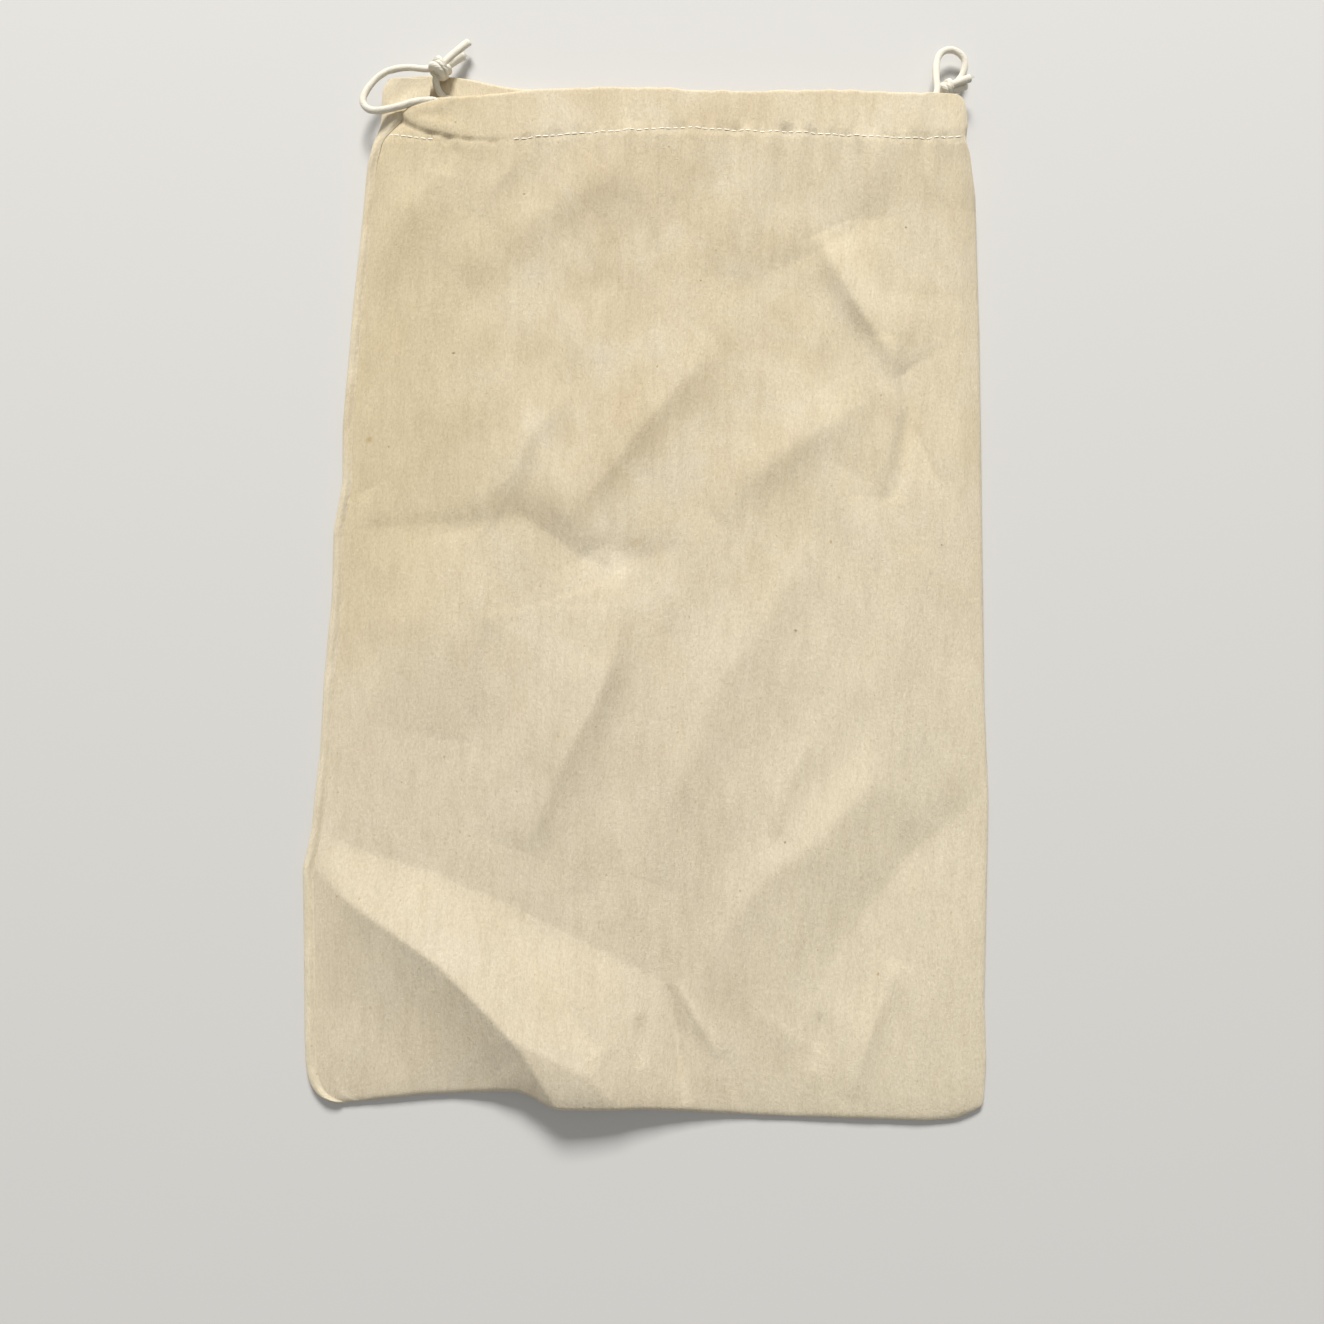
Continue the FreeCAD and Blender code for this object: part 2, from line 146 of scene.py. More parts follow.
def maths(tree, operation, a, b, clamp=False):
    made = node(tree, "ShaderNodeMath", operation=operation, use_clamp=clamp)
    for socket, value in zip(made.inputs, (a, b)):
        if isinstance(value, (int, float)):
            socket.default_value = value
        else:
            tree.links.new(value, socket)
    return made.outputs[0]


def bump(tree, height, distance, strength, below=None):
    """A bump on top of the normal below it. The distance is its depth in metres."""
    made = node(tree, "ShaderNodeBump", Distance=distance, Strength=strength)
    tree.links.new(height, made.inputs["Height"])
    if below is not None:
        tree.links.new(below, made.inputs["Normal"])
    return made.outputs["Normal"]


def above(tree, value, floor, gain):
    """How far a value is above a floor, times gain, between 0 and 1."""
    over = maths(tree, "SUBTRACT", value, floor, True)
    return maths(tree, "MULTIPLY", over, gain, True)


def fade(tree, value, start, end, low, high):
    """From low at start to high at end."""
    made = node(tree, "ShaderNodeMapRange", interpolation_type="SMOOTHSTEP")
    tree.links.new(value, made.inputs["Value"])
    for key, number in (
            ("From Min", start), ("From Max", end), ("To Min", low), ("To Max", high)):
        made.inputs[key].default_value = number
    return made.outputs["Result"]


def spot(tree, uv, x, y, rx, ry):
    """1 at a point of the cloth, falling to 0 at its edge. Millimetres."""
    shift = node(tree, "ShaderNodeVectorMath", operation="SUBTRACT")
    tree.links.new(uv, shift.inputs[0])
    shift.inputs[1].default_value = (x / 10, y / 10, 0)
    size = node(tree, "ShaderNodeVectorMath", operation="DIVIDE")
    tree.links.new(shift.outputs["Vector"], size.inputs[0])
    size.inputs[1].default_value = (rx / 10, ry / 10, 1)
    length = node(tree, "ShaderNodeVectorMath", operation="LENGTH")
    tree.links.new(size.outputs["Vector"], length.inputs[0])
    return maths(tree, "SUBTRACT", 1.0, length.outputs["Value"], clamp=True)


# Small marks on the flannel: x, y, half width, half height, strength, colour.
STAINS = (
    (-127.0, 292.0, 2.2, 2.0, 0.55, (0.42, 0.25, 0.05)),
    (-7.0, 248.0, 3.4, 2.6, 0.30, (0.40, 0.27, 0.08)),
    (-96.0, 381.0, 3.0, 2.2, 0.14, (0.42, 0.28, 0.08)),
)
SPECKS = (
    (60.0, 118.0, 0.7, 0.8), (-118.0, 287.0, 0.6, 0.6), (64.0, 210.0, 1.2, 0.7),
    (-24.0, 9.0, 0.6, 0.5), (-92.0, 433.0, 0.7, 0.6), (-60.0, 398.0, 0.9, 0.6),
    (-90.0, 326.0, 1.0, 0.7), (112.0, 398.0, 0.7, 0.8), (20.0, 365.0, 0.6, 0.5),
    (128.0, 256.0, 0.6, 0.6),
)
SPECK_STRENGTH = 0.9
SPECK_COLOUR = (0.19, 0.13, 0.07)


def flannel_colour(tree, uv, streak):
    """Unbleached cotton: patches, tints, slubs, mottling, flecks and marks."""
    # Broad patches of warmer and greyer cloth.
    colour = ramp(tree, noise(tree, uv, 0.28, 4.0, 0.6), [
        (0.36, (0.720, 0.612, 0.422)), (0.51, (0.768, 0.670, 0.482)),
        (0.66, (0.810, 0.722, 0.548))])
    rosy = noise(tree, scaled_uv(tree, 1.0, 0.8), 0.55, 3.0, 0.6)
    colour = mix(tree, above(tree, rosy, 0.52, 1.6), colour, (0.755, 0.625, 0.460))
    # Less yellow towards the bottom, yellower up the left side, paler down the right one.
    # Places on the cloth are in centimetres.
    place = node(tree, "ShaderNodeSeparateXYZ")
    tree.links.new(uv, place.inputs[0])
    across, along = place.outputs["X"], place.outputs["Y"]
    bottom = fade(tree, along, 17.0, 33.0, 0.55, 0.0)
    left = fade(tree, across, -12.0, -4.0, 0.75, 0.0)
    right = fade(tree, across, 1.0, 9.0, 0.0, 0.65)
    upper = fade(tree, along, 14.0, 26.0, 0.0, 1.0)
    colour = mix(tree, bottom, colour, (0.775, 0.700, 0.555))
    colour = mix(tree, maths(tree, "MULTIPLY", left, upper), colour, (0.705, 0.598, 0.392))
    lower = maths(tree, "SUBTRACT", 1.0, maths(tree, "MULTIPLY", upper, 0.5))
    colour = mix(tree, maths(tree, "MULTIPLY", right, lower), colour, (0.830, 0.750, 0.568))
    # Slubs and streaks along the warp.
    bands = noise(tree, scaled_uv(tree, 2.6, 0.5, 0.3), 1.0, 4.0, 0.65)
    mottle = noise(tree, scaled_uv(tree, 9.0, 6.0), 1.0, 5.0, 0.75)
    for strength, pattern, stops in (
            (0.40, bands, [(0.36, (0.86, 0.84, 0.80)), (0.50, (0.96, 0.955, 0.94)),
                           (0.62, (1.0, 1.0, 1.0))]),
            (0.48, streak, [(0.30, (0.80, 0.79, 0.77)), (0.50, (0.93, 0.93, 0.93)),
                            (0.72, (1.0, 1.0, 1.0))]),
            (0.60, mottle, [(0.32, (0.74, 0.72, 0.68)), (0.62, (1.0, 1.0, 1.0))])):
        colour = mix(tree, strength, colour, ramp(tree, pattern, stops), "MULTIPLY")
    flecks = noise(tree, scaled_uv(tree, 5.0, 4.0), 1.0, 2.0, 0.4)
    colour = mix(tree, above(tree, flecks, 0.715, 9.0), colour, (0.50, 0.36, 0.20))
    marks = STAINS + tuple((*speck, SPECK_STRENGTH, SPECK_COLOUR) for speck in SPECKS)
    for x, y, rx, ry, strength, tint in marks:
        fac = maths(tree, "MULTIPLY", spot(tree, uv, x, y, rx, ry), strength)
        colour = mix(tree, fac, colour, tint)
    return colour


def flannel_material():
    mat, tree, shader = material("flannel")
    streak = noise(tree, scaled_uv(tree, 11.0, 1.8, 0.25), 1.0, 4.0, 0.65)
    colour = flannel_colour(tree, scaled_uv(tree, 1, 1), streak)
    tree.links.new(colour, shader.inputs["Base Color"])
    shader.inputs["Roughness"].default_value = 0.92
    shader.inputs["Specular IOR Level"].default_value = 0.18
    shader.inputs["Sheen Weight"].default_value = 0.25
    shader.inputs["Sheen Roughness"].default_value = 0.55
    shader.inputs["Sheen Tint"].default_value = (1.0, 0.95, 0.85, 1.0)
    # Weave under a brushed nap.
    warp_yarns = node(tree, "ShaderNodeTexWave", Scale=5.2, Distortion=1.2, Detail=2.0)
    tree.links.new(scaled_uv(tree, 1, 1, 0.05), warp_yarns.inputs["Vector"])
    nap = noise(tree, scaled_uv(tree, 34.0, 20.0), 1.0, 5.0, 0.75)
    tufts = noise(tree, scaled_uv(tree, 9.0, 5.0), 1.0, 4.0, 0.7)
    normal = bump(tree, streak, 0.00045, 0.55)
    normal = bump(tree, tufts, 0.00035, 0.7, normal)
    normal = bump(tree, warp_yarns.outputs["Fac"], 0.00008, 0.5, normal)
    normal = bump(tree, nap, 0.00022, 0.9, normal)
    tree.links.new(normal, shader.inputs["Normal"])
    return mat


def cord_material():
    mat, tree, shader = material("drawstring")
    fine = noise(tree, scaled_uv(tree, 30.0, 8.0), 1.0, 4.0, 0.7)
    colour = ramp(tree, fine, [(0.3, (0.70, 0.655, 0.535)), (0.7, (0.86, 0.83, 0.735))])
    tree.links.new(colour, shader.inputs["Base Color"])
    shader.inputs["Roughness"].default_value = 0.8
    shader.inputs["Specular IOR Level"].default_value = 0.25
    shader.inputs["Sheen Weight"].default_value = 0.2
    twill = node(tree, "ShaderNodeTexWave", bands_direction="DIAGONAL", Scale=6.0, Distortion=0.6)
    tree.links.new(scaled_uv(tree, 1, 1), twill.inputs["Vector"])
    normal = bump(tree, twill.outputs["Fac"], 0.00012, 0.7)
    normal = bump(tree, fine, 0.0001, 0.8, normal)
    tree.links.new(normal, shader.inputs["Normal"])
    return mat


def thread_material():
    mat, tree, shader = material("sewing_thread")
    ply = node(tree, "ShaderNodeTexWave", bands_direction="DIAGONAL", Scale=30.0, Distortion=0.4)
    tree.links.new(scaled_uv(tree, 1, 1), ply.inputs["Vector"])
    colour = ramp(tree, ply.outputs["Fac"], [(0.0, (0.88, 0.84, 0.70)), (1.0, (0.95, 0.93, 0.84))])
    tree.links.new(colour, shader.inputs["Base Color"])
    shader.inputs["Roughness"].default_value = 0.55
    return mat


FLANNEL = flannel_material()
CORD_LOOK = cord_material()
THREAD_LOOK = thread_material()


# ------------------------------------------------------------------ mesh helpers
def build(name, points, faces, uv, look, normals=None):
    """A mesh object from millimetre points, with its cloth coordinates in centimetres."""
    mesh = bpy.data.meshes.new(name)
    placed = (np.asarray(points) - (0, MIDDLE, 0)) * MM
    mesh.from_pydata(placed.tolist(), [], [list(map(int, f)) for f in faces])
    layer = mesh.uv_layers.new(name="cloth_cm")
    index = np.empty(len(mesh.loops), np.int32)
    mesh.loops.foreach_get("vertex_index", index)
    layer.data.foreach_set("uv", (np.asarray(uv)[index] / 10).astype(np.float32).ravel())
    mesh.polygons.foreach_set("use_smooth", np.ones(len(mesh.polygons), bool))
    mesh.materials.append(look)
    if normals is not None:
        mesh.normals_split_custom_set_from_vertices(normals.tolist())
    obj = bpy.data.objects.new(name, mesh)
    scene.collection.objects.link(obj)
    return obj


def smooth(x, a, b):
    """0 before a, 1 after b, and a smooth step between them."""
    t = np.clip((x - a) / (b - a), 0, 1)
    return t * t * (3 - 2 * t)


def unit(v):
    return v / np.maximum(np.linalg.norm(v, axis=-1, keepdims=True), 1e-12)


def tube_rings(path, radius_a, radius_b, sides):
    """Rings of an oval tube along a path, without twist. Returns points and (around, along)."""
    tangent = unit(np.gradient(path, axis=0))
    side = np.zeros_like(path)
    last = np.array([0.0, 0.0, 1.0])
    for i, t in enumerate(tangent):
        s = np.cross(last, t)
        if np.linalg.norm(s) < 1e-6:
            s = np.cross([1.0, 0.0, 0.0], t)
        side[i] = s / np.linalg.norm(s)
        last = np.cross(t, side[i])
    up = np.cross(tangent, side)
    along = np.concatenate([[0], np.cumsum(np.linalg.norm(np.diff(path, axis=0), axis=1))])
    angle = np.linspace(0, 2 * math.pi, sides, endpoint=False)
    a = np.broadcast_to(radius_a, len(path))[:, None, None]
    b = np.broadcast_to(radius_b, len(path))[:, None, None]
    points = (path[:, None] + a * np.cos(angle)[None, :, None] * side[:, None]
              + b * np.sin(angle)[None, :, None] * up[:, None])
    uv = np.stack(np.broadcast_arrays((angle * (CORD / 2))[None, :], along[:, None]), axis=-1)
    return points.reshape(-1, 3), uv.reshape(-1, 2)


def tube_faces(rings, sides, first=0):
    faces = []
    for i in range(rings - 1):
        for j in range(sides):
            k = (j + 1) % sides
            faces.append((first + i * sides + j, first + i * sides + k,
                          first + (i + 1) * sides + k, first + (i + 1) * sides + j))
    faces.append(tuple(first + j for j in reversed(range(sides))))
    faces.append(tuple(first + (rings - 1) * sides + j for j in range(sides)))
    return faces


def tube_bundle(name, tubes, sides, look):
    """One object from several tubes, each (path, radius, radius)."""
    points, faces, uvs = [], [], []
    for path, radius_a, radius_b in tubes:
        rings, uv = tube_rings(path, radius_a, radius_b, sides)
        faces += tube_faces(len(path), sides, sum(map(len, points)))
        points.append(rings)
        uvs.append(uv)
    obj = build(name, np.concatenate(points), faces, np.concatenate(uvs), look)
    return obj


# ------------------------------------------------------------------ drawstrings
CORD = 2.8                      # diameter
CORD_SIDES = 20
KNOT_SIDES = 14
YARN_SIDES = 6
LOOSE_YARNS = 22                # at each cut end
YARN_REACH = 1.3
# Routes, a few millimetres at most from the CAD's: x, y from the bottom seam, z.
LEFT_LOOP = (
    (-102.0, 445.5, 11.8), (-108.5, 445.4, 11.9), (-119.0, 441.7, 11.7), (-131.2, 440.0, 10.7),
    (-136.2, 447.2, 9.2), (-127.8, 460.6, 8.2), (-116.5, 464.0, 8.0), (-106.2, 462.9, 7.6))
LEFT_STRAND = ((-94.0, 452.0, 2.2), (-100.0, 452.0, 2.2), (-103.9, 459.6, 4.2))
RIGHT_LOOP = (
    (118.0, 450.6, 11.8), (122.6, 450.6, 11.8), (126.2, 453.6, 11.3), (125.6, 465.0, 8.6),
    (127.6, 476.2, 6.2), (134.5, 479.6, 5.0), (141.0, 475.2, 4.4), (139.8, 467.0, 4.2),
    (134.8, 461.4, 4.6))
RIGHT_STRAND = ((118.0, 444.6, 2.2), (126.0, 444.6, 2.4), (131.2, 448.4, 3.6), (131.4, 454.8, 5.0))
# Inside each knot, from where the loop or strand enters to where its tail ends.
LEFT_LONG = ((-100.4, 464.9, 7.2), (-95.6, 471.2, 6.6), (-88.6, 478.8, 4.6))
LEFT_SHORT = ((-101.2, 463.6, 6.0), (-96.6, 466.6, 6.0), (-90.7, 472.5, 4.4))
RIGHT_LONG = (
    (131.6, 459.2, 4.6), (129.4, 458.0, 5.4), (129.6, 458.1, 7.8), (133.0, 459.4, 8.6),
    (141.4, 462.6, 8.8))
RIGHT_SHORT = ((132.0, 458.2, 6.0), (135.4, 458.2, 6.6), (140.0, 460.8, 6.2))
# Held in the casings. The two cords lie side by side, far enough apart to slide past each other.
LEFT_HELD = (
    (-102.0, 445.5, 11.8), (-98.0, 444.2, 11.4), (-90.0, 442.2, 11.0), (-60.0, 442.0, 10.9),
    (-20.0, 442.0, 11.0), (30.0, 442.0, 11.0), (80.0, 444.0, 11.0), (115.0, 445.2, 11.0),
    (128.5, 445.6, 10.8), (129.5, 447.4, 5.5), (123.0, 449.2, 2.4), (100.0, 450.0, 2.2),
    (0.0, 450.8, 2.2), (-60.0, 451.6, 2.2), (-94.0, 452.0, 2.2))
RIGHT_HELD = (
    (118.0, 450.6, 11.8), (110.0, 450.2, 11.2), (90.0, 450.0, 11.0), (40.0, 449.6, 11.0),
    (-20.0, 449.8, 11.0), (-50.0, 448.8, 11.0), (-72.0, 447.0, 11.0), (-86.0, 446.0, 10.6),
    (-96.0, 445.6, 8.6), (-102.5, 445.8, 5.6), (-96.0, 446.0, 2.5), (-84.0, 445.8, 2.2),
    (-40.0, 445.6, 2.2), (60.0, 445.0, 2.2), (118.0, 444.6, 2.2))


def nurbs_path(name, points, steps):
    """Points along a smooth NURBS line with these control points, in millimetres."""
    data = bpy.data.curves.new(name, "CURVE")
    data.dimensions = "3D"
    data.resolution_u = steps
    spline = data.splines.new("NURBS")
    spline.points.add(len(points) - 1)
    for target, point in zip(spline.points, points):
        target.co = (*at(*point), 1.0)
    spline.order_u = 3
    spline.use_endpoint_u = True
    holder = bpy.data.objects.new(name, data)
    scene.collection.objects.link(holder)
    bpy.context.view_layer.update()
    mesh = bpy.data.meshes.new_from_object(holder)
    path = np.array([v.co for v in mesh.vertices]) / MM + (0, MIDDLE, 0)
    bpy.data.objects.remove(holder)
    bpy.data.curves.remove(data)
    bpy.data.meshes.remove(mesh)
    return path


def cord_piece(name, path, body, flat=0.12, flare=0.0):
    """A soft woven cord: a slightly flattened tube that narrows and swells as it bends."""
    count = len(path)
    along = np.linspace(0, 1, count)
    swell = 1 + 0.03 * np.sin(along * 37 + len(name)) + 0.02 * np.sin(along * 91)
    swell = swell + flare * smooth(along, 0.88, 1.0)
    wide = CORD / 2 * (1 + flat) * swell
    thick = CORD / 2 * (1 - flat) * swell
    points, uv = tube_rings(path, wide, thick, CORD_SIDES)
    # A woven cord's surface: low ribs that run round it aslant.
    ring = np.repeat(np.arange(count), CORD_SIDES)
    turn = np.tile(np.linspace(0, 2 * math.pi, CORD_SIDES, endpoint=False), count)
    rib = 0.035 * np.sin(turn * 5 + ring * 0.9) + 0.02 * np.sin(turn * 3 - ring * 0.7)
    outward = unit(points - np.repeat(path, CORD_SIDES, axis=0))
    points = points + outward * rib[:, None]
    obj = build(name, points, tube_faces(count, CORD_SIDES), uv, CORD_LOOK)
    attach(obj, body)
    return obj


def fray(name, tip, heading, body):
    """Loose yarn ends at a cut end of cord."""
    yarns = []
    heading = unit(np.array(heading, float))
    for _ in range(LOOSE_YARNS):
        away = unit(heading + fray_rng.normal(0, 0.22, 3) * (1, 1, 0.55))
        spread = fray_rng.normal(0, 0.62, 3) * (1, 1, 0.7)
        root = np.array(tip) + spread - heading * 0.7
        reach = YARN_REACH * fray_rng.uniform(0.55, 1.0)
        bend = fray_rng.normal(0, 0.25, 3)
        t = np.linspace(0, 1, 6)[:, None]
        path = root + away * reach * t + bend * (t ** 2) * reach * 0.5
        radius = np.linspace(0.24, 0.07, 6)
        yarns.append((path, radius, radius))
    obj = tube_bundle(name, yarns, YARN_SIDES, CORD_LOOK)
    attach(obj, body)
    return obj


# Each wrap of a knot: start and end in turns, place along the knot, slant, radius.
WRAPS = (
    (-0.40, 0.95, -1.75, 0.5, 2.55), (0.05, 1.35, 0.15, 0.9, 2.75),
    (0.45, 1.55, 1.45, -2.3, 2.6), (-0.1, 0.8, -0.4, 2.6, 2.2))


def knot_piece(name, centre, heading, droop, spread, body):
    """Overhand knot: the doubled cord wraps twice round itself."""
    centre = np.array(centre)
    angle = math.radians(heading)
    axis = unit(np.array([math.cos(angle), math.sin(angle), droop]))
    side = unit(np.cross([0, 0, 1.0], axis))
    up = np.cross(axis, side)
    strands = []
    for start, end, place, slant, size in WRAPS:
        t = np.linspace(start, end, 44)
        a = t * 2 * math.pi
        shrink = np.clip(np.minimum(t - start, end - t) / 0.22, 0, 1) ** 0.5
        r = size * spread * (0.45 + 0.55 * shrink)
        lift = place + slant * (t - start) / (end - start) - slant / 2
        lift = lift + 0.35 * np.sin(a + place)
        path = (centre + axis * (lift * spread)[:, None]
                + side * (r * np.cos(a))[:, None] + up * (r * 0.92 * np.sin(a))[:, None])
        thick = 1.36 * spread * (0.75 + 0.25 * shrink)
        strands.append((path, thick * 1.08, thick * 0.9))
    core = centre + axis * np.linspace(-3.0, 3.0, KNOT_SIDES)[:, None]
    fill = 2.0 * np.sqrt(np.clip(1 - np.linspace(-0.98, 0.98, KNOT_SIDES) ** 2, 0, 1)) + 0.2
    strands.append((core, fill, fill))
    obj = tube_bundle(name, strands, KNOT_SIDES, CORD_LOOK)
    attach(obj, body)
    return obj


def held_cord(side, route, body):
    """The run inside the casings, round the fold of cloth at the far corner and back."""
    path = nurbs_path(side + "_held_line", route, steps=20)
    obj = cord_piece(side + "_held_cord", path, body, flat=0.0)
    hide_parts(side + "_cord_in_casings")
    return obj


def drawstring(side, loop, long_tail, strand, short_tail, knot_at, held):
    body = side + "_drawstring"
    held_cord(side, held, body)
    knot = knot_piece(side + "_knot", *knot_at, body)
    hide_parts(side + "_cord_knot")
    # The loop's cord goes on through the knot as the long tail, the back strand as the short one.
    runs = (("loop", "long", loop, long_tail), ("back_strand", "short", strand, short_tail))
    for word, tail_word, run, tail in runs:
        name = "%s_%s_and_tail" % (side, word)
        path = nurbs_path(name + "_line", run + tail, steps=14)
        piece = cord_piece(name, path, body, flare=0.2)
        tip, before = path[-1], path[-6]
        end = fray("%s_%s_tail_fray" % (side, tail_word), tip, tip - before, body)
        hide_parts("%s_cord_%s" % (side, word), "%s_cord_%s_tail" % (side, tail_word))


drawstring(
    "left", LEFT_LOOP, LEFT_LONG, LEFT_STRAND, LEFT_SHORT,
    ((-100.5, 463.7, 7.2), 49.0, -0.12, 1.22),
    LEFT_HELD)
drawstring(
    "right", RIGHT_LOOP, RIGHT_LONG, RIGHT_STRAND, RIGHT_SHORT,
    ((131.6, 458.6, 6.6), 27.0, 0.08, 1.0),
    RIGHT_HELD)


# ------------------------------------------------------------------ the bag's outline
def curve(points, soft):
    """A smooth function through (where, value) pairs, rounded over soft millimetres."""
    where, value = np.array(sorted(points), float).T
    step = 0.5
    xs = np.arange(where[0] - 40, where[-1] + 40, step)
    slope_a = (value[1] - value[0]) / (where[1] - where[0])
    slope_b = (value[-1] - value[-2]) / (where[-1] - where[-2])
    ys = np.interp(xs, where, value)
    ys = np.where(xs < where[0], value[0] + (xs - where[0]) * slope_a, ys)
    ys = np.where(xs > where[-1], value[-1] + (xs - where[-1]) * slope_b, ys)
    pad = int(4 * soft / step)
    kernel = np.exp(-0.5 * (np.arange(-pad, pad + 1) * step / soft) ** 2)
    ys = np.convolve(np.pad(ys, pad, mode="edge"), kernel / kernel.sum(), mode="valid")
    return lambda at_: np.interp(at_, xs, ys)


left_edge = curve((
    (2.4, -130.0), (3.4, -133.0), (4.6, -136.4), (5.8, -138.2), (7.8, -140.0), (9.9, -141.4),
    (14, -142.9), (19.4, -143.9), (29, -144.6), (67, -146.6), (101, -148.8),
    (118, -145.6), (152, -143.5), (183, -143.1), (218, -141.2), (250, -141.6), (272, -138.7),
    (299, -139.6), (355, -137.1), (395, -134.4), (405, -134.0), (412, -133.6), (418, -133.0),
    (423.5, -131.7), (426, -131.2), (428.5, -130.6), (431, -129.8), (433.5, -128.6),
    (436, -127.5), (440, -127.1), (447, -127.3), (452, -127.2), (456, -126.3), (459, -123.8),
    (461.5, -120.0)), 1.0)
right_edge = curve((
    (1, 135.6), (3, 142.4), (5, 145.2), (9, 146.2), (25, 147.4), (51, 146.8), (93, 148.0),
    (136, 149.2), (179, 147.8), (241, 147.4), (305, 147.0), (346, 146.6), (407, 144.8),
    (427, 141.7), (432, 139.5), (436, 139.1), (443, 139.0), (449, 137.9), (453, 136.2),
    (456, 133.6)), 1.4)
bottom_edge = curve((
    (-145, 2.6), (-131, 2.4), (-116, 4.0), (-94, 6.6), (-60, 9.0), (-52, 9.6), (-46, 7.6),
    (-40, 4.8), (-35, 3.4), (-19, 3.2), (0, 3.0), (25, 1.6), (51, 0.6), (102, -0.2),
    (122, -0.6), (135, 0.6), (145, 4.6)), 1.2)
front_mouth = curve((
    (-135, 446.0), (-104, 446.6), (-92, 447.4), (-78, 448.6), (-68, 449.8), (-58, 451.1),
    (-45, 451.9), (-27, 452.8), (-9, 453.3), (2, 453.4), (10, 452.8), (20, 452.4),
    (36, 452.0), (48, 452.3), (63, 453.0), (77, 453.7), (90, 453.6), (108, 453.1),
    (118, 452.7), (124, 452.4), (130, 452.6), (134.5, 452.2), (137.6, 450.4),
    (139.8, 446.4)), 1.2)
back_mouth = curve((
    (-129, 455.2), (-126, 457.2), (-123, 459.2), (-119, 461.4), (-115, 463.1), (-110, 464.1),
    (-102, 464.5), (-94, 463.3), (-87, 461.3), (-79, 459.3), (-72, 458.1), (-65, 457.5),
    (-58, 457.1), (-52, 456.8), (-44, 455.6), (-30, 454.4), (0, 453.4), (90, 452.4),
    (118, 450.6), (130, 447.5), (138, 441)), 1.4)
stitch_row = curve((
    (-131, 431.6), (-123.7, 430.9), (-120, 430.5), (-116, 429.4), (-111.5, 428.3), (-107, 427.3),
    (-100, 426.9), (-90, 426.1), (-75, 425.6), (-62, 427.2), (-47, 429.2), (-33, 430.5),
    (-26, 430.7), (-17, 431.7), (-4, 432.8), (7, 433.5), (14, 434.2), (27, 433.0), (45, 432.4),
    (63, 432.7), (79, 431.6), (93, 431.2), (108, 430.7), (124, 431.0), (133, 431.9),
    (140, 432.6)), 2.5)
# How far the back panel comes over the front at the left: a narrow edge beside the seam, and a
# wide turned-over corner beside the mouth.
turned_over = curve((
    (0, 5.0), (428, 5.2), (434, 8.0), (440, 12.0), (445, 17.0), (449, 23.0), (454, 22.5),
    (458, 19.0), (461.5, 10.0)), 1.2)


def waves(x, y, count, shortest, longest, seed):
    """Random swells between two wavelengths in millimetres, about 1 high."""
    draw = np.random.default_rng(seed)
    total = np.zeros_like(x)
    for _ in range(count):
        length = math.exp(draw.uniform(math.log(shortest), math.log(longest)))
        angle = draw.uniform(0, math.pi)
        phase = draw.uniform(0, 2 * math.pi)
        run = x * math.cos(angle) + y * math.sin(angle)
        total += np.sin(2 * math.pi * run / length + phase)
    return total / math.sqrt(count / 2)


def away_from(line, x, y):
    """Signed distance from a line of points, positive to the right of its direction, and the
    share of the line's length at the nearest point."""
    line = np.array(line, float)
    lengths = np.linalg.norm(np.diff(line, axis=0), axis=1)
    total = lengths.sum()
    best = np.full(x.shape, np.inf)
    sign = np.ones(x.shape)
    share = np.zeros(x.shape)
    run = 0.0
    for (ax, ay), (bx, by), length in zip(line[:-1], line[1:], lengths):
        dx, dy = bx - ax, by - ay
        t = np.clip(((x - ax) * dx + (y - ay) * dy) / length ** 2, 0, 1)
        px, py = x - ax - t * dx, y - ay - t * dy
        distance = np.hypot(px, py)
        nearer = distance < best
        best = np.where(nearer, distance, best)
        sign = np.where(nearer, np.sign(px * dy - py * dx), sign)
        share = np.where(nearer, (run + t * length) / total, share)
        run += length
    return best * sign, share


